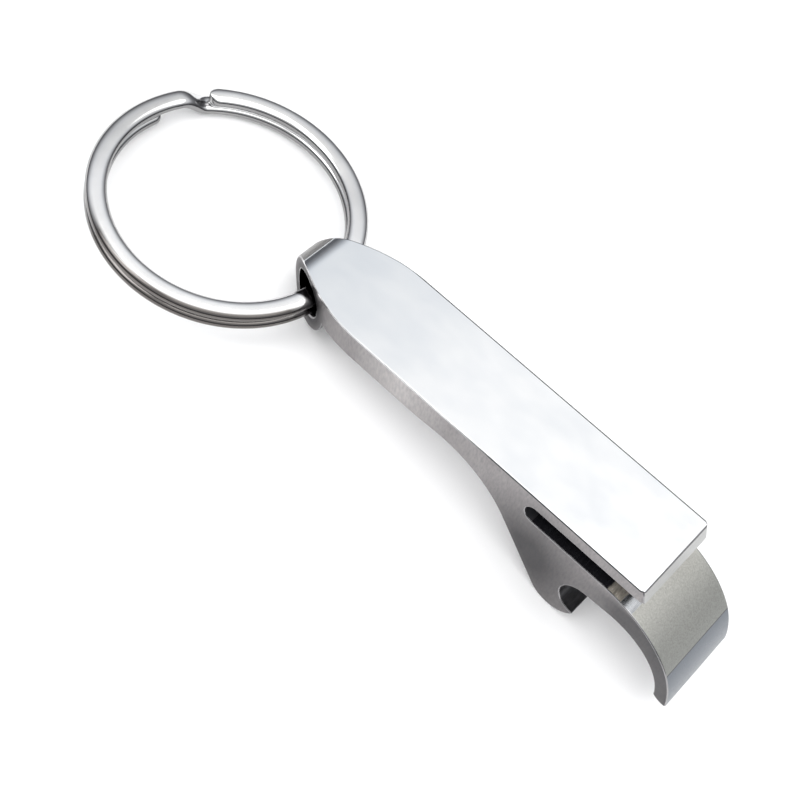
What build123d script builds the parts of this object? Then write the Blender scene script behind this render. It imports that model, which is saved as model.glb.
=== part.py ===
from build123d import *
import os
from math import sin, cos, tan, asin, acos, atan2, radians, degrees, sqrt, pi

os.makedirs("parts", exist_ok=True)

# ---------------------------------------------------------------------------
# Keychain bottle opener: a milled metal bar with a two-turn split ring.
#
# The bar is drawn in its own axes first: X runs from the key-ring end (-X) to
# the mouth (+X), Z is normal to the flat top face, Y is across the bar.  The
# top face is Z = 0 and the front of the top tongue is X = 0.
# The bar is then pitched about Y so that it stands as it lies on a table: on
# the bottom of its eye and on the belly of its claw, +Z up, table at Z = 0.
# ---------------------------------------------------------------------------

# ---- driving dimensions, mm and degrees -----------------------------------
W = 10.0                         # width of the bar
TONGUE_T = 1.64                  # thickness of the top tongue, above the slot
TONGUE_RAKE = 0.60               # how far the tongue's lower front edge leads
TONGUE_CORNER = 0.50             # rounded front corners of the tongue
SLOT_H = 2.17                    # height of the slot under the tongue
SLOT_X = -11.90                  # centre of the slot's round end
BAR_Z = -3.40                    # underside of the slim part of the bar
WAIST_X, WAIST_Z = -23.0, -3.15  # thinnest point, just before the flank
WAIST_R = 11.3                   # concave curve from the waist into the flank

EYE_X, EYE_R = -43.00, 3.44      # eye boss, tangent to the top face
HOLE_X, HOLE_Z, HOLE_R = -42.94, -3.15, 2.25       # hole for the split ring

BELLY_X, BELLY_Z, BELLY_R = -6.87, -11.02, 2.95    # round belly of the claw
FLANK = 47.7                     # slope of the straight flank up from the belly
NOTCH_X, NOTCH_Z, NOTCH_R = -4.05, -9.85, 2.37     # cap notch behind the claw
LIP_IN_X, LIP_IN_Z, LIP_IN_R = -0.86, -14.45, 7.23 # hollow side of the lip
LIP_OUT_X, LIP_OUT_R = -3.50, 11.70                # outer side of the lip
CREASE_X = 6.19                  # where the outer side breaks into the tip face
TIP_MID, TIP = (7.20, -11.00), (7.86, -13.40)      # the curved tip face

# half width of the bar against X, from the parallel sides to the nose
NOSE = [(-35.30, 5.000), (-36.60, 4.935), (-38.00, 4.765), (-39.00, 4.545),
        (-40.00, 4.270), (-41.00, 3.930), (-42.00, 3.520), (-43.00, 3.060),
        (-44.00, 2.540), (-45.00, 1.950), (-46.00, 1.280), (-46.70, 0.750)]

RING_RO, RING_RI = 14.00, 11.90  # split ring, outside and inside radius
WIRE_H = 1.20                    # height of one turn
WIRE_R = 0.56                    # rounded corners of the wire
TURN_GAP = 0.05                  # hairline between the two turns
END_A, JOG_HI = 145.6, 159.0     # top turn: its end, and where it starts down
JOG_LO, END_B = 146.4, 169.0     # bottom turn: where the jog lands, and its end
RING_ROLL = 4.5                  # sideways tip of the ring in its oversize hole
RING_YAW = 9.3                   # how far round the hole's axis the ring lies
SAG_SHARE = 0.66                 # centres the curved wire along the hole
RING_LIFT = 0.10                 # and centres the tipped wire pack in its height

# ---------------------------------------------------------------------------
# Opener body
# ---------------------------------------------------------------------------


def on_circle(cx, cz, r, deg):
    return (cx + r * cos(radians(deg)), cz + r * sin(radians(deg)))


def arc(cx, cz, r, a0, a1):
    return ThreePointArc(on_circle(cx, cz, r, a0), on_circle(cx, cz, r, (a0 + a1) / 2),
                         on_circle(cx, cz, r, a1))


slot_floor = -TONGUE_T - SLOT_H
lip_cz = slot_floor - LIP_OUT_R
crease = (CREASE_X, lip_cz + sqrt(LIP_OUT_R ** 2 - (CREASE_X - LIP_OUT_X) ** 2))
lip_mid_x = (LIP_OUT_X + CREASE_X) / 2
lip_mid = (lip_mid_x, lip_cz + sqrt(LIP_OUT_R ** 2 - (lip_mid_x - LIP_OUT_X) ** 2))

hollow_start = on_circle(LIP_IN_X, LIP_IN_Z, LIP_IN_R, 10.5)
hollow_end = on_circle(LIP_IN_X, LIP_IN_Z, LIP_IN_R, 95.0)
notch_top = on_circle(NOTCH_X, NOTCH_Z, NOTCH_R, 95.0)
notch_end = on_circle(NOTCH_X, NOTCH_Z, NOTCH_R, 264.0)
claw_x = -4.22
claw = (claw_x, BELLY_Z - sqrt(BELLY_R ** 2 - (claw_x - BELLY_X) ** 2))
belly_tan = (BELLY_X - BELLY_R * sin(radians(FLANK)), BELLY_Z - BELLY_R * cos(radians(FLANK)))
belly_a0 = degrees(atan2(claw[1] - BELLY_Z, claw[0] - BELLY_X))
belly_a1 = degrees(atan2(belly_tan[1] - BELLY_Z, belly_tan[0] - BELLY_X))
if belly_a1 > belly_a0:
    belly_a1 -= 360

# the waist curve ends where its slope equals the flank's
waist_cz = WAIST_Z - WAIST_R
flank_top = (WAIST_X + WAIST_R * sin(radians(FLANK)), waist_cz + WAIST_R * cos(radians(FLANK)))
# keep the flank straight: slide the waist along X so the curve meets the flank
flank_x = belly_tan[0] - (flank_top[1] - belly_tan[1]) / tan(radians(FLANK))
shift = flank_x - flank_top[0]
waist_x = WAIST_X + shift
flank_top = (flank_x, flank_top[1])
waist_mid = (waist_x + WAIST_R * sin(radians(FLANK / 2)), waist_cz + WAIST_R * cos(radians(FLANK / 2)))

eye_z = -EYE_R
eye_join = (EYE_X + sqrt(EYE_R ** 2 - (BAR_Z - eye_z) ** 2), BAR_Z)

outline = [
    Line((0, 0), (TONGUE_RAKE, -TONGUE_T)),
    Line((TONGUE_RAKE, -TONGUE_T), (SLOT_X, -TONGUE_T)),
    ThreePointArc((SLOT_X, -TONGUE_T), (SLOT_X - SLOT_H / 2, -TONGUE_T - SLOT_H / 2), (SLOT_X, slot_floor)),
    Line((SLOT_X, slot_floor), (LIP_OUT_X, slot_floor)),
    ThreePointArc((LIP_OUT_X, slot_floor), lip_mid, crease),
    ThreePointArc(crease, TIP_MID, TIP),
    ThreePointArc(TIP, (7.77, -13.59), (7.56, -13.65)),
    ThreePointArc((7.56, -13.65), (6.85, -13.52), hollow_start),
    arc(LIP_IN_X, LIP_IN_Z, LIP_IN_R, 10.5, 95.0),
    Line(hollow_end, notch_top),
    arc(NOTCH_X, NOTCH_Z, NOTCH_R, 95.0, 264.0),
    Line(notch_end, claw),
    arc(BELLY_X, BELLY_Z, BELLY_R, belly_a0, belly_a1),
    Line(belly_tan, flank_top),
    ThreePointArc(flank_top, waist_mid, (waist_x, WAIST_Z)),
    Spline((waist_x, WAIST_Z), (waist_x - 2.1, (WAIST_Z + BAR_Z) / 2), (waist_x - 4.2, BAR_Z),
           tangents=[(-1, 0), (-1, 0)]),
    Line((waist_x - 4.2, BAR_Z), eye_join),
    ThreePointArc(eye_join, on_circle(EYE_X, eye_z, EYE_R, 225), (EYE_X, 0)),
    Line((EYE_X, 0), (0, 0)),
]
profile = Plane.XZ * make_face(Wire(outline))
bar = extrude(profile, amount=W / 2, both=True)

half = Spline(*NOSE, tangents=[(-1, 0), (-0.62, -0.785)])
mirror_half = half.mirror(Plane.XZ)
plan = Wire([
    Line((12, W / 2), NOSE[0]), half, Line(NOSE[-1], (NOSE[-1][0], -NOSE[-1][1])), mirror_half,
    Line((NOSE[0][0], -NOSE[0][1]), (12, -W / 2)), Line((12, -W / 2), (12, W / 2)),
])
plan_block = extrude(make_face(plan), amount=20, both=True)
bar = bar & plan_block

# rounded front corners of the tongue
tongue_corners = [e for e in bar.edges()
                  if -0.2 < e.center().X < 0.8 and abs(abs(e.center().Y) - W / 2) < 0.01
                  and -TONGUE_T - 0.05 < e.center().Z < 0.05 and e.length < 2.2]
bar = fillet(tongue_corners, TONGUE_CORNER)

# hole for the split ring, along Y
hole = Pos(HOLE_X, 0, HOLE_Z) * Rot(90, 0, 0) * Cylinder(HOLE_R, 4 * W)
bar = bar - hole

# ---------------------------------------------------------------------------
# Pitch on the table: the lowest common tangent of the eye and the belly
# ---------------------------------------------------------------------------
dx, dz = BELLY_X - EYE_X, BELLY_Z - eye_z
pitch = degrees(atan2(-dz, dx)) + degrees(asin((EYE_R - BELLY_R) / sqrt(dx * dx + dz * dz))) * -1
n = (sin(radians(pitch)), cos(radians(pitch)))
floor = n[0] * EYE_X + n[1] * eye_z - EYE_R
floor2 = n[0] * BELLY_X + n[1] * BELLY_Z - BELLY_R


def stand(x, y, z):
    """bar axes to the table frame, before centring"""
    a = radians(pitch)
    return (x * cos(a) - z * sin(a), y, x * sin(a) + z * cos(a) - floor)


bar = Pos(0, 0, -floor) * Rot(0, -pitch, 0) * bar

# ---------------------------------------------------------------------------
# Split ring: one wire, two turns
# ---------------------------------------------------------------------------
rc = (RING_RO + RING_RI) / 2
z_lo, z_hi = -(WIRE_H + TURN_GAP) / 2, (WIRE_H + TURN_GAP) / 2


def section(deg, z):
    plane = Plane(origin=(rc * cos(radians(deg)), rc * sin(radians(deg)), z),
                  x_dir=(cos(radians(deg)), sin(radians(deg)), 0),
                  z_dir=(-sin(radians(deg)), cos(radians(deg)), 0))
    return plane * RectangleRounded(RING_RO - RING_RI, WIRE_H, WIRE_R)


def turn(z, a0, a1):
    t = revolve(section(a0, z), Axis.Z, a1 - a0)
    return t


end_r = (RING_RO - RING_RI) / 2
end_span = degrees(end_r / rc)


def rounded_turn(z, a0, a1, end, side):
    """a turn from a0 to a1 whose wire end at angle `end` is half round in plan"""
    mid = end - side * end_span
    post = Pos(rc * cos(radians(mid)), rc * sin(radians(mid)), z) * Cylinder(end_r, 2 * WIRE_H)
    if side > 0:
        return turn(z, a0, mid) + (turn(z, mid, a1) & post)
    return turn(z, mid, a1) + (turn(z, a0, mid) & post)


top = rounded_turn(z_hi, JOG_HI, END_A + 360, END_A + 360, 1)
bottom = rounded_turn(z_lo, END_B, JOG_LO + 360, END_B, -1)
steps = 8
jog_sections = []
for i in range(steps + 1):
    t = i / steps
    s = t * t * (3 - 2 * t)
    jog_sections.append(section(JOG_LO + (JOG_HI - JOG_LO) * t, z_lo + (z_hi - z_lo) * s))
jog = loft(jog_sections)
ring = (top + jog + bottom)

# its place: the wire runs through the middle of the hole, the far side of the
# ring lies on the table, and the ring is tipped a little sideways
hx, hy, hz = stand(HOLE_X, 0, HOLE_Z)


def ring_axes(tilt):
    """ring normal and the direction from the hole to the ring's centre"""
    t, r, y = radians(tilt), radians(RING_ROLL), radians(RING_YAW)
    nn = Vector(-sin(t), sin(r), cos(t)).normalized()
    u = Vector(-cos(y), -sin(y), 0)
    u = (u - nn * u.dot(nn)).normalized()
    return nn, u


def lowest(tilt):
    nn, u = ring_axes(tilt)
    c = Vector(hx, hy, hz) + u * (rc - SAG_SHARE) + nn * RING_LIFT
    half_t = WIRE_H + TURN_GAP / 2
    s = sqrt(1 - nn.Z ** 2)
    # outer lower edge with its rounding
    return c.Z - (half_t - WIRE_R) * nn.Z - (RING_RO - WIRE_R) * s - WIRE_R


lo, hi = 0.0, 12.0
for _ in range(60):
    mid = (lo + hi) / 2
    if lowest(mid) > 0.01:
        lo = mid
    else:
        hi = mid
ring_tilt = (lo + hi) / 2
nn, u = ring_axes(ring_tilt)
centre = Vector(hx, hy, hz) + u * (rc - SAG_SHARE) + nn * RING_LIFT
x_axis = Vector(1, 0, 0)
x_axis = (x_axis - nn * x_axis.dot(nn)).normalized()
ring = Plane(origin=centre, x_dir=x_axis, z_dir=nn).location * ring

# ---------------------------------------------------------------------------
# Centre the whole object in plan over the origin
# ---------------------------------------------------------------------------
bar, ring = bar.solid(), ring.solid()
b0, b1 = bar.bounding_box(), ring.bounding_box()
low = Vector(min(b0.min.X, b1.min.X), min(b0.min.Y, b1.min.Y), min(b0.min.Z, b1.min.Z))
high = Vector(max(b0.max.X, b1.max.X), max(b0.max.Y, b1.max.Y), max(b0.max.Z, b1.max.Z))
move = Vector(-(low.X + high.X) / 2, -(low.Y + high.Y) / 2, -low.Z)
bar = Location(move) * bar
ring = Location(move) * ring

export_step(bar, "parts/opener_body.step")
export_step(ring, "parts/split_ring.step")

if __name__ == "__main__":
    def frame(x, y, z):
        v = Vector(*stand(x, y, z)) + move
        return tuple(round(c, 4) for c in (v.X, v.Y, v.Z))
    print("pitch", round(pitch, 4), "floor gap", round(floor2 - floor, 6), "waist x", round(waist_x, 3))
    print("ring tilt", round(ring_tilt, 3), "normal", nn, "centre", centre + move)
    print("move", move, "size", high - low)
    print("hole centre", frame(HOLE_X, 0, HOLE_Z))
    print("top face middle", frame(-20, 0, 0), "tip", frame(TIP[0], 0, TIP[1]), "tongue front", frame(0, 0, 0))
    print("bar", bar.volume, bar.is_valid, len(bar.solids()), "ring", ring.volume, ring.is_valid, len(ring.solids()))
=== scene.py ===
import bpy
import bmesh
from math import sin, cos, tan, asin, atan2, radians, degrees, sqrt, pi, hypot
import numpy as np
from mathutils import Vector, Matrix
from mathutils.geometry import delaunay_2d_cdt


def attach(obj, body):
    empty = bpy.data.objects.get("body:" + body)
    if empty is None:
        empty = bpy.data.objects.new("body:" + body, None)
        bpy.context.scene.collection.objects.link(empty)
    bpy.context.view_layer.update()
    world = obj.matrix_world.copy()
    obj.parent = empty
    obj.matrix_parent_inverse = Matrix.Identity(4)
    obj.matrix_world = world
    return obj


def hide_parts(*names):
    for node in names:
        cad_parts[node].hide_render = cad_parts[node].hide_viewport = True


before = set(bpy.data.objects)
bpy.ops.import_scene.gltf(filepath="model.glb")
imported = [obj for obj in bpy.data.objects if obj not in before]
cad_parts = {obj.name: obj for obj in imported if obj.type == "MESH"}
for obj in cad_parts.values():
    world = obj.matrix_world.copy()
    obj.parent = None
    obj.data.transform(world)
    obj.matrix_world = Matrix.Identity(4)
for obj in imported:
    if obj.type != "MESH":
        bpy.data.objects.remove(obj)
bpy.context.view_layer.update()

MM = 0.001
# ---------------------------------------------------------------------------
# the bar's own axes -> row frame (X to the mouth, Z up from the flat top)
# ---------------------------------------------------------------------------
PITCH = radians(11.0882)
CA, SA = cos(PITCH), sin(PITCH)
OX, OY, OZ = 28.6636, 2.061, 15.0855


def row(x, y, z):
    return ((x * CA - z * SA + OX) * MM, (y + OY) * MM, (x * SA + z * CA + OZ) * MM)


# ---------------------------------------------------------------------------
# camera at the photograph's viewing angle
# ---------------------------------------------------------------------------
F, CX, CY = 1388.9273506, 403.41775, 405.94512
R = Matrix(((0.72280468, 0.67408627, 0.15218769),
            (0.64451566, -0.57813006, -0.50036506),
            (-0.24930493, 0.45975356, -0.85233428)))
t = Vector((24.1955634, 13.4395234, 122.7162148))
M = Matrix(((CA, 0, -SA), (0, 1, 0), (SA, 0, CA)))
R_row = R @ M.transposed()
eye = Vector((OX, OY, OZ)) + M @ (-(R.transposed() @ t))
rot = Matrix((R_row[0], -R_row[1], -R_row[2])).transposed()
cam_data = bpy.data.cameras.new("photo_camera")
cam = bpy.data.objects.new("photo_camera", cam_data)
bpy.context.scene.collection.objects.link(cam)
cam.matrix_world = Matrix.Translation(eye * MM) @ rot.to_4x4()
cam_data.sensor_fit = "HORIZONTAL"
cam_data.sensor_width = 36
cam_data.lens = F * 36 / 800
cam_data.shift_x = (400 - CX) / 800
cam_data.shift_y = (CY - 400) / 800
cam_data.clip_start = 0.005
cam_data.clip_end = 20
bpy.context.scene.camera = cam

# ---------------------------------------------------------------------------
# opener body: side profile, swept across the bar, cut to the tapered nose
# ---------------------------------------------------------------------------
HALF_W = 5.0
BEVEL = 0.11
TONGUE_T, TONGUE_RAKE, TONGUE_CORNER = 1.64, 0.60, 0.50
SLOT_H, SLOT_X = 2.17, -11.90
BAR_Z, WAIST_X, WAIST_Z, WAIST_R = -3.40, -23.0, -3.15, 11.3
EYE_X, EYE_R = -43.00, 3.44
HOLE_X, HOLE_Z, HOLE_R = -42.94, -3.15, 2.25
BELLY_X, BELLY_Z, BELLY_R, FLANK = -6.87, -11.02, 2.95, 47.7
NOTCH_X, NOTCH_Z, NOTCH_R = -4.05, -9.85, 2.37
LIP_IN_X, LIP_IN_Z, LIP_IN_R = -0.86, -14.45, 7.23
LIP_OUT_X, LIP_OUT_R, CREASE_X = -3.50, 11.70, 6.19
TIP_MID, TIP = (7.20, -11.00), (7.86, -13.40)
NOSE = [(-46.70, 0.750), (-46.00, 1.280), (-45.00, 1.950), (-44.00, 2.540),
        (-43.00, 3.060), (-42.00, 3.520), (-41.00, 3.930), (-40.00, 4.270),
        (-39.00, 4.545), (-38.00, 4.765), (-36.60, 4.935), (-35.30, 5.000)]


def clamped_spline(points, s0, s1):
    """second derivatives of the cubic through the points with end slopes s0 and s1"""
    x = np.array([p[0] for p in points])
    y = np.array([p[1] for p in points])
    n = len(x)
    h = np.diff(x)
    a = np.zeros((n, n))
    b = np.zeros(n)
    a[0, 0], a[0, 1] = 2 * h[0], h[0]
    b[0] = 6 * ((y[1] - y[0]) / h[0] - s0)
    a[-1, -1], a[-1, -2] = 2 * h[-1], h[-1]
    b[-1] = 6 * (s1 - (y[-1] - y[-2]) / h[-1])
    for i in range(1, n - 1):
        a[i, i - 1], a[i, i], a[i, i + 1] = h[i - 1], 2 * (h[i - 1] + h[i]), h[i]
        b[i] = 6 * ((y[i + 1] - y[i]) / h[i] - (y[i] - y[i - 1]) / h[i - 1])
    return x, y, np.linalg.solve(a, b)


NX, NY, NM = clamped_spline(NOSE, 0.785 / 0.62, 0.0)


def half_width(x, z):
    """half width of the bar at a point of its side profile"""
    if x < NX[-1]:
        x = max(x, NX[0])
        i = min(int(np.searchsorted(NX, x, side="right")) - 1, len(NX) - 2)
        h = NX[i + 1] - NX[i]
        a, b = (NX[i + 1] - x) / h, (x - NX[i]) / h
        return float(a * NY[i] + b * NY[i + 1]
                     + ((a ** 3 - a) * NM[i] + (b ** 3 - b) * NM[i + 1]) * h * h / 6)
    if z > -TONGUE_T - 0.02:
        front = TONGUE_RAKE * min(max(-z / TONGUE_T, 0), 1)
        run = TONGUE_CORNER / cos(atan2(TONGUE_RAKE, TONGUE_T))
        s = (x - (front - run)) / run
        if s > 0:
            s = min(s, sin(radians(45)))
            return HALF_W - TONGUE_CORNER + TONGUE_CORNER * sqrt(max(0.0, 1 - s * s))
    return HALF_W


def on_circle(cx, cz, r, deg):
    return (cx + r * cos(radians(deg)), cz + r * sin(radians(deg)))


profile = []  # (x, z, zone of the stretch that starts here)
FRONT, INNER, FLOOR, LIP, TIPF, HOLLOW, NOTCH, BELLY, UNDER, EYE, NOSE_Z, TOP = range(12)


def line(p, q, zone, step=0.6):
    n = max(1, int(np.ceil(hypot(q[0] - p[0], q[1] - p[1]) / step)))
    for i in range(n):
        s = i / n
        profile.append((p[0] + (q[0] - p[0]) * s, p[1] + (q[1] - p[1]) * s, zone))


def arc(cx, cz, r, a0, a1, zone, step=0.12):
    n = max(2, int(np.ceil(radians(abs(a1 - a0)) * r / step)))
    for i in range(n):
        profile.append((*on_circle(cx, cz, r, a0 + (a1 - a0) * i / n), zone))


def arc3(p, m, q, zone, step=0.12):
    ax, az, bx, bz, cx, cz = *p, *m, *q
    d = 2 * (ax * (bz - cz) + bx * (cz - az) + cx * (az - bz))
    ux = ((ax * ax + az * az) * (bz - cz) + (bx * bx + bz * bz) * (cz - az) + (cx * cx + cz * cz) * (az - bz)) / d
    uz = ((ax * ax + az * az) * (cx - bx) + (bx * bx + bz * bz) * (ax - cx) + (cx * cx + cz * cz) * (bx - ax)) / d
    r = hypot(ax - ux, az - uz)
    a0, am, a1 = (degrees(atan2(z - uz, x - ux)) for x, z in (p, m, q))
    ccw = (am - a0) % 360 < (a1 - a0) % 360
    sweep = (a1 - a0) % 360 if ccw else -((a0 - a1) % 360)
    arc(ux, uz, r, a0, a0 + sweep, zone, step)


slot_floor = -TONGUE_T - SLOT_H
lip_cz = slot_floor - LIP_OUT_R
crease = (CREASE_X, lip_cz + sqrt(LIP_OUT_R ** 2 - (CREASE_X - LIP_OUT_X) ** 2))
blast_x = 0.25
blast = (blast_x, lip_cz + sqrt(LIP_OUT_R ** 2 - (blast_x - LIP_OUT_X) ** 2))
lip_a0 = 90.0
lip_ab = degrees(atan2(blast[1] - lip_cz, blast[0] - LIP_OUT_X))
lip_a1 = degrees(atan2(crease[1] - lip_cz, crease[0] - LIP_OUT_X))
hollow_start = on_circle(LIP_IN_X, LIP_IN_Z, LIP_IN_R, 10.5)
hollow_end = on_circle(LIP_IN_X, LIP_IN_Z, LIP_IN_R, 95.0)
notch_top = on_circle(NOTCH_X, NOTCH_Z, NOTCH_R, 95.0)
notch_end = on_circle(NOTCH_X, NOTCH_Z, NOTCH_R, 264.0)
claw = (-4.22, BELLY_Z - sqrt(BELLY_R ** 2 - (-4.22 - BELLY_X) ** 2))
belly_tan = (BELLY_X - BELLY_R * sin(radians(FLANK)), BELLY_Z - BELLY_R * cos(radians(FLANK)))
belly_a0 = degrees(atan2(claw[1] - BELLY_Z, claw[0] - BELLY_X))
belly_a1 = degrees(atan2(belly_tan[1] - BELLY_Z, belly_tan[0] - BELLY_X))
if belly_a1 > belly_a0:
    belly_a1 -= 360
waist_cz = WAIST_Z - WAIST_R
flank_top = (WAIST_X + WAIST_R * sin(radians(FLANK)), waist_cz + WAIST_R * cos(radians(FLANK)))
flank_x = belly_tan[0] - (flank_top[1] - belly_tan[1]) / tan(radians(FLANK))
waist_x = WAIST_X + flank_x - flank_top[0]
flank_top = (flank_x, flank_top[1])
eye_z = -EYE_R
eye_join = (EYE_X + sqrt(EYE_R ** 2 - (BAR_Z - eye_z) ** 2), BAR_Z)

# ARRIS marks thin strips at the tongue's top front edge and along the crease that are painted dark as edge lines:
# painted shade
ARRIS = 30
line((0, 0), (TONGUE_RAKE * 0.12, -TONGUE_T * 0.12), ARRIS, 0.3)
line((TONGUE_RAKE * 0.12, -TONGUE_T * 0.12), (TONGUE_RAKE, -TONGUE_T), FRONT, 0.24)
LAST_FRONT = len(profile)
line((TONGUE_RAKE, -TONGUE_T), (TONGUE_RAKE - 0.19, -TONGUE_T), INNER, 0.3)
line((TONGUE_RAKE - 0.19, -TONGUE_T), (0.0, -TONGUE_T), INNER, 0.05)
line((0.0, -TONGUE_T), (SLOT_X, -TONGUE_T), INNER)
arc(SLOT_X, -TONGUE_T - SLOT_H / 2, SLOT_H / 2, 90, 270, INNER, 0.08)
line((SLOT_X, slot_floor), (LIP_OUT_X, slot_floor), FLOOR)
arc(LIP_OUT_X, lip_cz, LIP_OUT_R, lip_a0, lip_ab, FLOOR, 0.15)
arc(LIP_OUT_X, lip_cz, LIP_OUT_R, lip_ab, lip_a1 + 0.5, LIP, 0.15)
arc(LIP_OUT_X, lip_cz, LIP_OUT_R, lip_a1 + 0.5, lip_a1, ARRIS, 0.15)
arc3(crease, TIP_MID, TIP, TIPF)
arc3(TIP, (7.77, -13.59), (7.56, -13.65), TIPF, 0.04)
arc3((7.56, -13.65), (6.85, -13.52), hollow_start, HOLLOW, 0.08)
arc(LIP_IN_X, LIP_IN_Z, LIP_IN_R, 10.5, 95.0, HOLLOW)
line(hollow_end, notch_top, HOLLOW)
arc(NOTCH_X, NOTCH_Z, NOTCH_R, 95.0, 264.0, NOTCH, 0.08)
line(notch_end, claw, NOTCH, 0.2)
arc(BELLY_X, BELLY_Z, BELLY_R, belly_a0, belly_a1, BELLY, 0.1)
line(belly_tan, flank_top, BELLY)
arc(waist_x, waist_cz, WAIST_R, 90 - FLANK, 90, UNDER, 0.2)
for i in range(12):
    s = i / 12
    profile.append((waist_x - 4.2 * s, WAIST_Z + (BAR_Z - WAIST_Z) * (s * s * (3 - 2 * s)), UNDER))
line((waist_x - 4.2, BAR_Z), (-34.9, BAR_Z), UNDER)
line((-34.9, BAR_Z), eye_join, UNDER, 0.2)
e0 = degrees(atan2(eye_join[1] - eye_z, eye_join[0] - EYE_X))
e_join = 118.6  # the polish of the top ends here, a little way round the eye
arc(EYE_X, eye_z, EYE_R, 360 + e0, e_join, EYE, 0.10)
# the eye's arc down to the polish line is satin; its lower boss is glossier
profile[:] = [(x, z, (NOSE_Z if zone == EYE and z > -3.0 and x < EYE_X else zone)) for x, z, zone in profile]
arc(EYE_X, eye_z, EYE_R, e_join, 90, TOP, 0.08)
line((EYE_X, 0), (-34.9, 0), TOP, 0.2)
line((-34.9, 0), (-0.60, 0), TOP)
line((-0.60, 0), (-0.19, 0), TOP, 0.05)
line((-0.19, 0), (0, 0), TOP, 0.3)

N = len(profile)
P = np.array([(x, z) for x, z, _ in profile])
ZONES = [zone for _, _, zone in profile]
area = 0.5 * sum(P[i, 0] * P[(i + 1) % N, 1] - P[(i + 1) % N, 0] * P[i, 1] for i in range(N))
e = np.roll(P, -1, axis=0) - P
e /= np.linalg.norm(e, axis=1)[:, None]
side_sign = 1.0 if area > 0 else -1.0
inward = side_sign * np.stack([-e[:, 1], e[:, 0]], axis=1)
prev = np.roll(inward, 1, axis=0)
mitre = (prev + inward) / (1 + np.sum(prev * inward, axis=1))[:, None]
length = np.linalg.norm(mitre, axis=1)
mitre = mitre / length[:, None] * np.minimum(length, 2.6)[:, None]

verts, faces, mats = [], [], []
CAP, EDGE_M, BORE = 20, 21, 22


def put(x, y, z):
    verts.append(row(x, y, z))
    return len(verts) - 1


ACROSS = [-0.983, -0.967, -0.95, -0.6, -0.2, 0.2, 0.6, 0.95, 0.967, 0.983]
BEV = [0, 30, 60, 90]
RUN = TONGUE_CORNER / cos(atan2(TONGUE_RAKE, TONGUE_T))
FRONT_W = HALF_W - TONGUE_CORNER + TONGUE_CORNER * sin(radians(45))


def recess(y):
    """how far the tongue's front has turned back at this distance across the bar"""
    s = max(0.0, (abs(y) - (HALF_W - TONGUE_CORNER)) / TONGUE_CORNER)
    return RUN * (1 - sqrt(max(0.0, 1 - s * s)))


last_front = LAST_FRONT
rings = []  # the innermost outline of the side faces
strip = []  # columns of vertices, from -Y to +Y
for i in range(N):
    col = []
    x, z = P[i]
    front = i <= last_front
    left = []
    for th in reversed(BEV):
        d = BEVEL * (1 - cos(radians(th)))
        if front:
            y = FRONT_W - BEVEL * (1 - sin(radians(th)))
            pz = z - d if i == 0 else (z + d if i == last_front else z)
            px = -pz / TONGUE_T * TONGUE_RAKE - recess(y)
        else:
            px, pz = P[i] + mitre[i] * d
            y = half_width(px, pz) - BEVEL * (1 - sin(radians(th)))
        left.append((px, y, pz))
    rings.append((left[0][0], left[0][2]))
    w0 = left[-1][1]
    for px, y, pz in left:
        col.append(put(px, -y, pz))
    for k in ACROSS:
        col.append(put(x - (recess(w0 * k) if front else 0), w0 * k, z))
    for px, y, pz in reversed(left):
        col.append(put(px, y, pz))
    strip.append(col)
nb = len(BEV) - 1
for i in range(N):
    a, b = strip[i], strip[(i + 1) % N]
    for k in range(len(a) - 1):
        faces.append((a[k], a[k + 1], b[k + 1], b[k]))
        mats.append(EDGE_M if (k < nb or k >= len(a) - 1 - nb) else ZONES[i])

# the hole, with its edges broken too
HN = 96
hole_cols = []
for i in range(HN):
    th = 2 * pi * i / HN
    left = []
    for tb in reversed(BEV):
        r = HOLE_R + BEVEL * (1 - cos(radians(tb)))
        px, pz = HOLE_X + r * cos(th), HOLE_Z + r * sin(th)
        left.append((px, half_width(px, pz) - BEVEL * (1 - sin(radians(tb))), pz))
    x, z = HOLE_X + HOLE_R * cos(th), HOLE_Z + HOLE_R * sin(th)
    w0 = left[-1][1]
    col = [put(px, -y, pz) for px, y, pz in left]
    col += [put(x, w0 * k, z) for k in ACROSS]
    col += [put(px, y, pz) for px, y, pz in reversed(left)]
    hole_cols.append(col)
for i in range(HN):
    a, b = hole_cols[i], hole_cols[(i + 1) % HN]
    for k in range(len(a) - 1):
        faces.append((a[k], b[k], b[k + 1], a[k + 1]))
        mats.append(EDGE_M if (k < nb or k >= len(a) - 1 - nb) else BORE)

# the two side faces, triangulated once and mirrored
outer = rings
rim = [(HOLE_X + (HOLE_R + BEVEL) * cos(2 * pi * i / HN), HOLE_Z + (HOLE_R + BEVEL) * sin(2 * pi * i / HN)) for i in range(HN)]
outer_np = np.array(outer)


def inside(px, pz):
    x0, z0 = outer_np[:, 0], outer_np[:, 1]
    x1, z1 = np.roll(x0, -1), np.roll(z0, -1)
    hit = ((z0 > pz) != (z1 > pz)) & (px < (x1 - x0) * (pz - z0) / np.where(z1 == z0, 1e-12, z1 - z0) + x0)
    return int(hit.sum()) % 2 == 1


def clear_of_edges(px, pz, gap):
    if hypot(px - HOLE_X, pz - HOLE_Z) < HOLE_R + BEVEL + gap:
        return False
    return float(np.min(np.hypot(outer_np[:, 0] - px, outer_np[:, 1] - pz))) > gap


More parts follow.
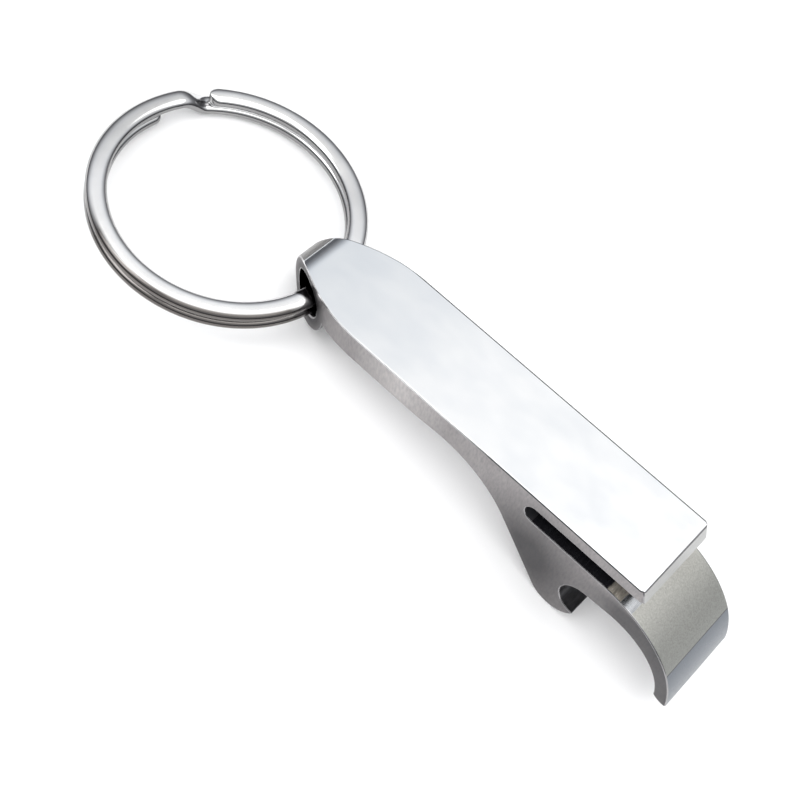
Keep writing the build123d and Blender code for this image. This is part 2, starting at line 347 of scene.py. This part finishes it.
extra = []
for i in range(60):
    for j in range(24):
        px, pz = -46.6 + 0.22 * i, -6.8 + 0.30 * j + (0.15 if i % 2 else 0)
        if inside(px, pz) and clear_of_edges(px, pz, 0.12):
            extra.append((px, pz))
for s in (0.02, 0.12, 0.24, 0.36, 0.48, 0.60):
    for j in range(9):
        pz = -0.16 - 0.165 * j
        px = TONGUE_RAKE * (-pz / TONGUE_T) - RUN + s * RUN
        if inside(px, pz) and clear_of_edges(px, pz, 0.045):
            extra.append((px, pz))
for i in range(60):
    for j in range(20):
        px, pz = -33.4 + 0.8 * i, -13.6 + 0.8 * j
        if inside(px, pz) and clear_of_edges(px, pz, 0.4):
            extra.append((px, pz))
pts2 = outer + rim + extra
edges2 = [(i, (i + 1) % N) for i in range(N)] + [(N + i, N + (i + 1) % HN) for i in range(HN)]
out_v, _, out_f, orig_v, _, _ = delaunay_2d_cdt([Vector(p) for p in pts2], edges2, [], 0, 1e-6, True)
cap = [{}, {}]
for side in (0, 1):
    for i in range(N):
        cap[side][i] = strip[i][0] if side == 0 else strip[i][-1]
    for i in range(HN):
        cap[side][N + i] = hole_cols[i][0] if side == 0 else hole_cols[i][-1]
    for i, (px, pz) in enumerate(extra):
        w = half_width(px, pz)
        cap[side][N + HN + i] = put(px, -w if side == 0 else w, pz)
for f in out_f:
    idx = [orig_v[v][0] for v in f]
    c = sum((Vector(pts2[i]) for i in idx), Vector((0, 0))) / len(idx)
    if not inside(c.x, c.y) or hypot(c.x - HOLE_X, c.y - HOLE_Z) < (HOLE_R + BEVEL) * cos(pi / HN) - 1e-5:
        continue
    faces.append(tuple(cap[0][i] for i in idx)); mats.append(CAP)
    faces.append(tuple(cap[1][i] for i in reversed(idx))); mats.append(CAP)


def make_object(name, verts, faces):
    mesh = bpy.data.meshes.new(name)
    mesh.from_pydata(verts, [], faces)
    mesh.update()
    obj = bpy.data.objects.new(name, mesh)
    bpy.context.scene.collection.objects.link(obj)
    return obj


def fix_normals(obj, sharp):
    bm = bmesh.new()
    bm.from_mesh(obj.data)
    bmesh.ops.holes_fill(bm, edges=[ed for ed in bm.edges if ed.is_boundary], sides=4)
    bmesh.ops.recalc_face_normals(bm, faces=bm.faces)
    open_edges = sum(1 for ed in bm.edges if len(ed.link_faces) != 2)
    volume = bm.calc_volume(signed=True)
    bm.to_mesh(obj.data)
    bm.free()
    for p in obj.data.polygons:
        p.use_smooth = True
    obj.data.set_sharp_from_angle(angle=radians(sharp))
    print(obj.name, "verts", len(obj.data.vertices), "faces", len(obj.data.polygons),
          "open edges", open_edges, "volume mm3", round(volume * 1e9, 2))


body = make_object("opener_bar", verts, faces)

# ---------------------------------------------------------------------------
# materials
# ---------------------------------------------------------------------------


def material(name):
    m = bpy.data.materials.new(name)
    m.use_nodes = True
    nt = m.node_tree
    nt.nodes.clear()
    out = nt.nodes.new("ShaderNodeOutputMaterial")
    bsdf = nt.nodes.new("ShaderNodeBsdfPrincipled")
    nt.links.new(bsdf.outputs[0], out.inputs[0])
    return m, nt, bsdf


def bar_coords(nt):
    """texture coordinates along the bar's own axes, in metres"""
    tc = nt.nodes.new("ShaderNodeTexCoord")
    mp = nt.nodes.new("ShaderNodeMapping")
    mp.inputs["Rotation"].default_value = (0, PITCH, 0)
    bx = OX * CA + OZ * SA
    bz = -OX * SA + OZ * CA
    mp.inputs["Location"].default_value = (-bx * MM, -OY * MM, -bz * MM)
    nt.links.new(tc.outputs["Object"], mp.inputs["Vector"])
    return mp.outputs["Vector"]


def scaled(nt, vec, scale):
    mp = nt.nodes.new("ShaderNodeMapping")
    mp.inputs["Scale"].default_value = scale
    nt.links.new(vec, mp.inputs["Vector"])
    return mp.outputs["Vector"]


def noise(nt, vec, scale, detail=3.0, rough=0.55):
    n = nt.nodes.new("ShaderNodeTexNoise")
    n.inputs["Scale"].default_value = scale
    n.inputs["Detail"].default_value = detail
    n.inputs["Roughness"].default_value = rough
    nt.links.new(vec, n.inputs["Vector"])
    return n.outputs["Fac"]


def spread(nt, fac, lo, hi, a, b):
    """fac from lo..hi to a..b, clamped"""
    mr = nt.nodes.new("ShaderNodeMapRange")
    mr.inputs["From Min"].default_value = lo
    mr.inputs["From Max"].default_value = hi
    mr.inputs["To Min"].default_value = a
    mr.inputs["To Max"].default_value = b
    nt.links.new(fac, mr.inputs["Value"])
    return mr.outputs["Result"]


def mix(nt, fac, a, b):
    m = nt.nodes.new("ShaderNodeMix")
    m.data_type = "RGBA"
    for sock, v in ((m.inputs["A"], a), (m.inputs["B"], b)):
        if isinstance(v, tuple):
            sock.default_value = (*v, 1)
        else:
            nt.links.new(v, sock)
    nt.links.new(fac, m.inputs["Factor"])
    return m.outputs["Result"]


def add(nt, a, b, op="ADD"):
    m = nt.nodes.new("ShaderNodeMath")
    m.operation = op
    for sock, v in ((m.inputs[0], a), (m.inputs[1], b)):
        if isinstance(v, (int, float)):
            sock.default_value = v
        else:
            nt.links.new(v, sock)
    return m.outputs[0]


def bump(nt, height, distance, strength=1.0):
    b = nt.nodes.new("ShaderNodeBump")
    b.inputs["Strength"].default_value = strength
    b.inputs["Distance"].default_value = distance
    nt.links.new(height, b.inputs["Height"])
    return b.outputs["Normal"]


def axis_of(nt, vec, k):
    s = nt.nodes.new("ShaderNodeSeparateXYZ")
    nt.links.new(vec, s.inputs[0])
    return s.outputs[k]


def polished_top():
    m, nt, b = material("polished_top")
    b.inputs["Metallic"].default_value = 1.0
    v = bar_coords(nt)
    cloud = noise(nt, scaled(nt, v, (1, 1.6, 1)), 170, 2.0, 0.5)
    fine = noise(nt, scaled(nt, v, (0.25, 1, 1)), 9000, 2.0, 0.6)
    along = spread(nt, axis_of(nt, v, 0), -0.043, -0.024, 0.0, 1.0)
    base = mix(nt, along, (0.775, 0.80, 0.825), (0.95, 0.96, 0.97))
    shade = mix(nt, spread(nt, cloud, 0.35, 0.65, 0, 1), (0.93, 0.94, 0.955), (1.0, 1.0, 1.0))
    mul = nt.nodes.new("ShaderNodeMix")
    mul.data_type = "RGBA"
    mul.blend_type = "MULTIPLY"
    mul.inputs["Factor"].default_value = 1.0
    nt.links.new(base, mul.inputs["A"])
    nt.links.new(shade, mul.inputs["B"])
    # painted shade: a thin dark line is painted along the far top edge and at the tongue's front end, standing in
    # for the dark reflection there
    rim = add(nt, spread(nt, axis_of(nt, v, 1), 0.00480, 0.00486, 1.0, 0.0),
              spread(nt, axis_of(nt, v, 0), -0.00010, -0.00004, 1.0, 0.0), "MULTIPLY")
    nt.links.new(mix(nt, rim, (0.11, 0.108, 0.115), mul.outputs["Result"]), b.inputs["Base Color"])
    r = add(nt, spread(nt, cloud, 0.3, 0.7, 0.07, 0.13), spread(nt, fine, 0.35, 0.75, 0.0, 0.04))
    nt.links.new(r, b.inputs["Roughness"])
    nt.links.new(bump(nt, cloud, 0.00006, 0.35), b.inputs["Normal"])
    return m


def milled_side():
    m, nt, b = material("milled_side")
    b.inputs["Metallic"].default_value = 1.0
    v = bar_coords(nt)
    streak = noise(nt, scaled(nt, v, (1, 1, 0.28)), 4200, 3.0, 0.6)
    wide = noise(nt, scaled(nt, v, (1, 1, 0.5)), 420, 2.0, 0.5)
    flat = nt.nodes.new("ShaderNodeVectorMath")
    flat.operation = "MULTIPLY"
    flat.inputs[1].default_value = (1, 0, 1)
    nt.links.new(v, flat.inputs[0])
    # painted shade: the side face is painted darker the nearer it is to the claw and belly
    far = nt.nodes.new("ShaderNodeVectorMath")
    far.operation = "DISTANCE"
    far.inputs[1].default_value = (-0.0110, 0, -0.0090)
    nt.links.new(flat.outputs["Vector"], far.inputs[0])
    depth = spread(nt, far.outputs["Value"], 0.0020, 0.0092, 0.0, 1.0)
    near = mix(nt, depth, (0.092, 0.090, 0.094), (0.315, 0.303, 0.307))
    mid = add(nt, spread(nt, axis_of(nt, v, 0), -0.0350, -0.0290, 0.0, 1.0),
              spread(nt, axis_of(nt, v, 0), -0.0290, -0.0230, 1.0, 0.0), "MULTIPLY")
    far_side = mix(nt, mid, near, (0.50, 0.485, 0.485))
    # painted shade: the lower part of the lip's side is painted dark
    lip = add(nt, spread(nt, axis_of(nt, v, 0), -0.0060, -0.0010, 0.0, 1.0),
              spread(nt, axis_of(nt, v, 2), -0.0050, -0.0034, 1.0, 0.0), "MULTIPLY")
    lip_side_shaded = mix(nt, lip, far_side, (0.108, 0.106, 0.110))
    # painted reflection: the side face is painted dark round the hole, standing in for a dark reflection
    eye = nt.nodes.new("ShaderNodeVectorMath")
    eye.operation = "DISTANCE"
    eye.inputs[1].default_value = (HOLE_X * MM, 0, HOLE_Z * MM)
    nt.links.new(flat.outputs["Vector"], eye.inputs[0])
    hole_shade_fac = spread(nt, eye.outputs["Value"], 0.0027, 0.0041, 0.0, 1.0)
    base = mix(nt, hole_shade_fac, (0.080, 0.078, 0.082), lip_side_shaded)
    tint = mix(nt, spread(nt, streak, 0.3, 0.7, 0, 1), (0.72, 0.72, 0.73), (1.12, 1.10, 1.08))
    mul = nt.nodes.new("ShaderNodeMix")
    mul.data_type = "RGBA"
    mul.blend_type = "MULTIPLY"
    mul.inputs["Factor"].default_value = 1.0
    nt.links.new(base, mul.inputs["A"])
    nt.links.new(tint, mul.inputs["B"])
    nt.links.new(mul.outputs["Result"], b.inputs["Base Color"])
    nt.links.new(add(nt, spread(nt, streak, 0.3, 0.7, 0.36, 0.52), spread(nt, wide, 0.3, 0.7, -0.04, 0.05)), b.inputs["Roughness"])
    nt.links.new(bump(nt, streak, 0.000012, 0.6), b.inputs["Normal"])
    return m


def blasted(name, dark, light, rough, depth):
    m, nt, b = material(name)
    b.inputs["Metallic"].default_value = 0.85
    v = bar_coords(nt)
    grit = noise(nt, v, 6200, 2.0, 0.7)
    wide = noise(nt, v, 260, 2.0, 0.5)
    speck = mix(nt, spread(nt, grit, 0.32, 0.68, 0, 1), dark, light)
    # painted shade: the lip's colour darkens towards the crease, where it turns down
    painted_shade = mix(nt, spread(nt, axis_of(nt, v, 0), 0.0005, 0.0062, 0, 1), (1.0, 1.0, 1.0), (0.70, 0.72, 0.73))
    mul = nt.nodes.new("ShaderNodeMix")
    mul.data_type = "RGBA"
    mul.blend_type = "MULTIPLY"
    mul.inputs["Factor"].default_value = 1.0
    nt.links.new(speck, mul.inputs["A"])
    nt.links.new(painted_shade, mul.inputs["B"])
    nt.links.new(mul.outputs["Result"], b.inputs["Base Color"])
    nt.links.new(add(nt, spread(nt, grit, 0.3, 0.7, rough, rough + 0.12), spread(nt, wide, 0.3, 0.7, -0.03, 0.04)), b.inputs["Roughness"])
    nt.links.new(bump(nt, grit, depth, 0.7), b.inputs["Normal"])
    return m


def satin(name, color, rough, metallic=1.0, streaks=(1, 0.2, 1), scale=5200, amount=0.12, depth=0.000004):
    m, nt, b = material(name)
    b.inputs["Metallic"].default_value = metallic
    v = bar_coords(nt)
    n = noise(nt, scaled(nt, v, streaks), scale, 3.0, 0.6)
    lo = tuple(c * (1 - amount) for c in color)
    hi = tuple(min(1.0, c * (1 + amount)) for c in color)
    nt.links.new(mix(nt, spread(nt, n, 0.3, 0.7, 0, 1), lo, hi), b.inputs["Base Color"])
    nt.links.new(spread(nt, n, 0.3, 0.7, rough * 0.85, rough * 1.2), b.inputs["Roughness"])
    nt.links.new(bump(nt, n, depth, 0.5), b.inputs["Normal"])
    return m


def edge_material():
    m, nt, b = material("broken_edge")
    b.inputs["Metallic"].default_value = 1.0
    v = bar_coords(nt)
    n = noise(nt, scaled(nt, v, (0.3, 1, 0.3)), 4200, 3.0, 0.6)
    # painted highlight and painted shade: the top edges are painted dark, except a light line along the near top
    # edge towards the eye; the lower edges are mid grey
    dark = mix(nt, spread(nt, n, 0.3, 0.7, 0, 1), (0.075, 0.073, 0.08), (0.15, 0.145, 0.15))
    painted_highlight_colour = mix(nt, spread(nt, n, 0.3, 0.7, 0, 1), (0.70, 0.70, 0.71), (0.88, 0.88, 0.89))
    grey = mix(nt, spread(nt, n, 0.3, 0.7, 0, 1), (0.27, 0.265, 0.27), (0.36, 0.355, 0.36))
    under = spread(nt, axis_of(nt, v, 2), -0.0008, -0.0004, 0.0, 1.0)
    near_edge_highlight = add(nt, spread(nt, axis_of(nt, v, 0), -0.0240, -0.0180, 1.0, 0.0),
               spread(nt, axis_of(nt, v, 1), -0.0005, 0.0005, 1.0, 0.0), "MULTIPLY")
    nt.links.new(mix(nt, under, grey, mix(nt, near_edge_highlight, dark, painted_highlight_colour)), b.inputs["Base Color"])
    nt.links.new(spread(nt, n, 0.3, 0.7, 0.17, 0.27), b.inputs["Roughness"])
    nt.links.new(bump(nt, n, 0.000003, 0.5), b.inputs["Normal"])
    return m


def slot_floor_material():
    m, nt, b = material("slot_floor")
    b.inputs["Metallic"].default_value = 1.0
    v = bar_coords(nt)
    n = noise(nt, scaled(nt, v, (1, 0.2, 1)), 3600, 3.0, 0.6)
    x = add(nt, axis_of(nt, v, 0), spread(nt, n, 0.3, 0.7, -0.0001, 0.0001))
    # painted shade and painted reflection: under the tongue the floor is painted near black, then a brown patch,
    # both barely metallic; towards the mouth it is lighter, fully metallic steel
    dark = mix(nt, spread(nt, n, 0.3, 0.7, 0, 1), (0.009, 0.009, 0.011), (0.015, 0.015, 0.018))
    painted_reflection_patch = mix(nt, spread(nt, n, 0.35, 0.65, 0, 1), (0.20, 0.18, 0.155), (0.42, 0.385, 0.33))
    white = mix(nt, spread(nt, n, 0.35, 0.65, 0, 1), (0.29, 0.30, 0.312), (0.43, 0.44, 0.455))
    c1 = mix(nt, spread(nt, x, -0.00285, -0.00265, 0, 1), dark, painted_reflection_patch)
    c2 = mix(nt, spread(nt, x, -0.00125, -0.00105, 0, 1), c1, white)
    nt.links.new(c2, b.inputs["Base Color"])
    nt.links.new(spread(nt, x, -0.00125, -0.00105, 0.25, 1.0), b.inputs["Metallic"])
    nt.links.new(spread(nt, n, 0.3, 0.7, 0.16, 0.30), b.inputs["Roughness"])
    nt.links.new(bump(nt, n, 0.000004, 0.5), b.inputs["Normal"])
    return m


slots = {
    TOP: polished_top(),
    CAP: milled_side(),
    LIP: blasted("blasted_lip", (0.40, 0.395, 0.365), (0.56, 0.555, 0.52), 0.48, 0.000012),
    TIPF: satin("tip_face", (0.150, 0.165, 0.186), 0.30, streaks=(1, 0.35, 1), amount=0.06),
    FRONT: satin("tongue_front", (0.42, 0.42, 0.415), 0.32, streaks=(1, 0.15, 1)),
    # painted shade: the arris strips are painted nearly black
    ARRIS: satin("arris", (0.085, 0.083, 0.088), 0.30, streaks=(1, 0.3, 1), amount=0.2),
    # painted shade: the inside of the slot is painted nearly black and hardly metallic
    INNER: satin("slot_inside", (0.016, 0.016, 0.019), 0.6, metallic=0.1, streaks=(1, 0.2, 1), amount=0.12),
    FLOOR: slot_floor_material(),
    HOLLOW: satin("lip_hollow", (0.42, 0.41, 0.41), 0.34, streaks=(1, 0.15, 1)),
    NOTCH: satin("notch_wall", (0.055, 0.055, 0.058), 0.32, streaks=(1, 0.15, 1), amount=0.25),
    BELLY: satin("belly", (0.45, 0.44, 0.44), 0.34, streaks=(1, 0.2, 1)),
    UNDER: satin("underside", (0.50, 0.49, 0.49), 0.36, streaks=(1, 0.2, 1)),
    EYE: satin("eye_boss", (0.085, 0.08, 0.08), 0.20, streaks=(1, 0.25, 1)),
    NOSE_Z: satin("nose_end", (0.28, 0.275, 0.272), 0.36, streaks=(1, 0.3, 1)),
    EDGE_M: edge_material(),
    BORE: satin("bore", (0.045, 0.045, 0.048), 0.20, streaks=(1, 0.15, 1), amount=0.2),
}
order = list(slots)
for k in order:
    body.data.materials.append(slots[k])
for p, k in zip(body.data.polygons, mats):
    p.material_index = order.index(k)
fix_normals(body, 24)
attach(body, "opener")
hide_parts("opener_body")

# ---------------------------------------------------------------------------
# split ring: one wire swept through two turns, with its step and round ends
# ---------------------------------------------------------------------------
RING_RO, RING_RI, WIRE_H, TURN_GAP = 14.00, 11.90, 1.20, 0.05
END_A, JOG_HI, JOG_LO, END_B = 145.6, 159.0, 146.4, 169.0
RC = (RING_RO + RING_RI) / 2
HW, HH = (RING_RO - RING_RI) / 2, WIRE_H / 2
z_lo, z_hi = -(WIRE_H + TURN_GAP) / 2, (WIRE_H + TURN_GAP) / 2
RING_N = Vector((-0.093164, 0.078219, 0.992574)).normalized()
RING_C = Vector((-24.9541, 0.0, 2.86498))
rx = (Vector((1, 0, 0)) - RING_N * RING_N.x).normalized()
ry = RING_N.cross(rx)
SEC = 40
POWER = 2.3
section = []
for i in range(SEC):
    a = 2 * pi * i / SEC
    c, s = cos(a), sin(a)
    section.append((abs(c) ** (2 / POWER) * (1 if c >= 0 else -1), abs(s) ** (2 / POWER) * (1 if s >= 0 else -1)))
path = []
start, stop = END_B, END_A + 720
span = degrees(HW / RC)
for th in range(84, 0, -7):
    s = sin(radians(th))
    path.append((start + span * (1 - s), cos(radians(th))))
n_mid = 460
for i in range(n_mid + 1):
    path.append((start + span + (stop - start - 2 * span) * i / n_mid, 1.0))
for th in range(7, 85, 7):
    path.append((stop - span * (1 - sin(radians(th))), cos(radians(th))))


def rise(phi):
    s = (phi - (JOG_LO + 360)) / (JOG_HI - JOG_LO)
    s = min(max(s, 0), 1)
    return z_lo + (z_hi - z_lo) * (s * s * (3 - 2 * s))


rv, rf = [], []
for phi, k in path:
    a = radians(phi)
    u = rx * cos(a) + ry * sin(a)
    z = rise(phi)
    slope = (rise(phi + 0.2) - rise(phi - 0.2)) / (radians(0.4) * RC)
    tangent = (-rx * sin(a) + ry * cos(a) + RING_N * slope).normalized()
    up = tangent.cross(u) * -1
    if up.dot(RING_N) < 0:
        up = -up
    kh = 1 - 0.22 * (1 - k) ** 1.5
    for su, sh in section:
        p = RING_C + u * (RC + su * HW * k) + RING_N * z + up * (sh * HH * kh)
        rv.append(tuple(c * MM for c in p))
L = len(path)
for i in range(L - 1):
    for j in range(SEC):
        a, b = i * SEC + j, i * SEC + (j + 1) % SEC
        rf.append((a, b, b + SEC, a + SEC))
rf.append(tuple(range(SEC - 1, -1, -1)))
rf.append(tuple((L - 1) * SEC + j for j in range(SEC)))
ring = make_object("split_ring_wire", rv, rf)


# centre of the painted shadow on the wire where it runs into the eye
EYE_AT = Vector((-12.869, 0.311, 3.7361)) * MM  # near side of the eye


def nickel():
    m, nt, b = material("nickel_wire")
    b.inputs["Metallic"].default_value = 1.0
    tc = nt.nodes.new("ShaderNodeTexCoord")
    dot = nt.nodes.new("ShaderNodeVectorMath")
    dot.operation = "DOT_PRODUCT"
    dot.inputs[1].default_value = tuple(RING_N)
    nt.links.new(tc.outputs["Normal"], dot.inputs[0])
    face = add(nt, dot.outputs["Value"], 0, "ABSOLUTE")
    # round the ring: radius and height about its centre, so that scratches run along the wire
    rel = nt.nodes.new("ShaderNodeVectorMath")
    rel.operation = "SUBTRACT"
    rel.inputs[1].default_value = tuple(RING_C * MM)
    nt.links.new(tc.outputs["Object"], rel.inputs[0])
    ln = nt.nodes.new("ShaderNodeVectorMath")
    ln.operation = "LENGTH"
    nt.links.new(rel.outputs["Vector"], ln.inputs[0])
    comb = nt.nodes.new("ShaderNodeCombineXYZ")
    nt.links.new(ln.outputs["Value"], comb.inputs[0])
    dz = nt.nodes.new("ShaderNodeVectorMath")
    dz.operation = "DOT_PRODUCT"
    dz.inputs[1].default_value = tuple(RING_N)
    nt.links.new(rel.outputs["Vector"], dz.inputs[0])
    nt.links.new(dz.outputs["Value"], comb.inputs[2])
    hair = noise(nt, comb.outputs[0], 5200, 2.0, 0.6)
    patch = noise(nt, tc.outputs["Object"], 260, 3.0, 0.55)
    pits = noise(nt, tc.outputs["Object"], 3800, 2.0, 0.6)
    # painted shade: faces square to the ring's axis get the light top colour and the wire's sides a dark brown
    side = mix(nt, spread(nt, hair, 0.3, 0.7, 0, 1), (0.105, 0.097, 0.092), (0.19, 0.178, 0.170))
    top = mix(nt, spread(nt, patch, 0.35, 0.65, 0, 1), (0.86, 0.86, 0.865), (0.95, 0.95, 0.95))
    part = nt.nodes.new("ShaderNodeSeparateXYZ")
    nt.links.new(rel.outputs["Vector"], part.inputs[0])
    # the colour is scaled darker towards the ring's end away from the eye and towards one side
    far_end_darkening = add(nt, spread(nt, part.outputs[0], -0.0125, -0.0090, 0.66, 1.0),
               spread(nt, part.outputs[1], 0.0065, 0.0105, 1.0, 0.80), "MULTIPLY")
    grey = nt.nodes.new("ShaderNodeVectorMath")
    grey.operation = "SCALE"
    # painted shade: in one part of the ring the sides stay dark brown and the outer rim of the top is painted
    # dark too; elsewhere the sides are a lighter grey
    low = add(nt, spread(nt, part.outputs[0], -0.0095, -0.0045, 0.0, 1.0),
              spread(nt, part.outputs[1], -0.0045, -0.0005, 1.0, 0.0), "MULTIPLY")
    rim = add(nt, spread(nt, ln.outputs["Value"], 0.01340, 0.01372, 0.0, 1.0), low, "MULTIPLY")
    side = mix(nt, low, (0.33, 0.328, 0.33), side)
    crown = add(nt, spread(nt, face, 0.60, 0.86, 0, 1), add(nt, 1.0, rim, "SUBTRACT"), "MULTIPLY")
    nt.links.new(mix(nt, crown, side, top), grey.inputs[0])
    nt.links.new(far_end_darkening, grey.inputs["Scale"])
    # painted shadow: the wire is painted near black where it runs into the eye
    eye = nt.nodes.new("ShaderNodeVectorMath")
    eye.operation = "DISTANCE"
    eye.inputs[1].default_value = tuple(EYE_AT)
    nt.links.new(tc.outputs["Object"], eye.inputs[0])
    painted_shade = spread(nt, add(nt, eye.outputs["Value"], spread(nt, patch, 0.3, 0.7, -0.0002, 0.0002)), 0.0031, 0.0034, 0.0, 1.0)
    nt.links.new(mix(nt, painted_shade, (0.028, 0.026, 0.028), grey.outputs["Vector"]), b.inputs["Base Color"])
    r = add(nt, spread(nt, hair, 0.3, 0.7, 0.08, 0.15), spread(nt, patch, 0.3, 0.7, -0.02, 0.04))
    nt.links.new(r, b.inputs["Roughness"])
    nt.links.new(bump(nt, add(nt, hair, add(nt, pits, 0.4, "MULTIPLY")), 0.000003, 0.4), b.inputs["Normal"])
    return m


ring.data.materials.append(nickel())
fix_normals(ring, 50)
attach(ring, "ring")
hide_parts("split_ring")

# ---------------------------------------------------------------------------
# floor, studio light
# ---------------------------------------------------------------------------
fm = bpy.data.meshes.new("floor")
S = 3.0
fm.from_pydata([(-S, -S, -0.00002), (S, -S, -0.00002), (S, S, -0.00002), (-S, S, -0.00002)], [], [(0, 1, 2, 3)])
floor = bpy.data.objects.new("floor", fm)
bpy.context.scene.collection.objects.link(floor)
fmat, fnt, fb = material("pale_floor")
fb.inputs["Base Color"].default_value = (0.93, 0.93, 0.93, 1)
fb.inputs["Roughness"].default_value = 0.9
fb.inputs["Specular IOR Level"].default_value = 0.0
fm.materials.append(fmat)

world = bpy.data.worlds.new("studio")
bpy.context.scene.world = world
world.use_nodes = True
wn = world.node_tree
wn.nodes.clear()
wout = wn.nodes.new("ShaderNodeOutputWorld")
bg = wn.nodes.new("ShaderNodeBackground")
wn.links.new(bg.outputs[0], wout.inputs[0])
wtc = wn.nodes.new("ShaderNodeTexCoord")
wsep = wn.nodes.new("ShaderNodeSeparateXYZ")
wn.links.new(wtc.outputs["Generated"], wsep.inputs[0])
ramp = wn.nodes.new("ShaderNodeValToRGB")
stops = [(0.0, (0.75, 0.75, 0.75)), (0.50, (0.10, 0.10, 0.11)), (0.60, (0.15, 0.15, 0.16)),
         (0.68, (0.28, 0.285, 0.30)), (0.75, (0.52, 0.53, 0.555)), (0.82, (0.86, 0.875, 0.90)), (0.90, (1.03, 1.03, 1.03)), (1.0, (1.1, 1.1, 1.1))]
while len(ramp.color_ramp.elements) < len(stops):
    ramp.color_ramp.elements.new(0.5)
for el, (pos, col) in zip(ramp.color_ramp.elements, stops):
    el.position = pos
    el.color = (*col, 1)
half = wn.nodes.new("ShaderNodeMath")
half.operation = "MULTIPLY_ADD"
half.inputs[1].default_value = 0.5
half.inputs[2].default_value = 0.5
wn.links.new(wsep.outputs["Z"], half.inputs[0])
wn.links.new(half.outputs[0], ramp.inputs["Fac"])
lp = wn.nodes.new("ShaderNodeLightPath")
wmix = wn.nodes.new("ShaderNodeMix")
wmix.data_type = "RGBA"
wmix.inputs["B"].default_value = (0.96, 0.96, 0.96, 1)
wn.links.new(lp.outputs["Is Camera Ray"], wmix.inputs["Factor"])
wn.links.new(ramp.outputs["Color"], wmix.inputs["A"])
wn.links.new(wmix.outputs["Result"], bg.inputs["Color"])
bg.inputs["Strength"].default_value = 1.0


def area_light(name, loc, size, power, target=(0, 0, 0.005)):
    ld = bpy.data.lights.new(name, "AREA")
    ld.shape = "RECTANGLE"
    ld.size, ld.size_y = size
    ld.energy = power
    lo = bpy.data.objects.new(name, ld)
    bpy.context.scene.collection.objects.link(lo)
    lo.location = loc
    lo.rotation_euler = (Vector(target) - Vector(loc)).to_track_quat("-Z", "Y").to_euler()
    return lo


area_light("overhead", (0.05, 0.05, 0.75), (0.8, 0.8), 2.6)
area_light("key", (-0.35, -0.30, 0.55), (0.35, 0.35), 1.1)
for k, (fx, fy) in enumerate(((0.45, 0), (0, 0.45), (-0.45, 0), (0, -0.45))):
    fill = area_light("fill_%d" % k, (fx, fy, 0.16), (0.45, 0.25), 0.55)
    fill.visible_glossy = False

bpy.context.scene.view_settings.view_transform = "Standard"
bpy.context.scene.view_settings.look = "None"
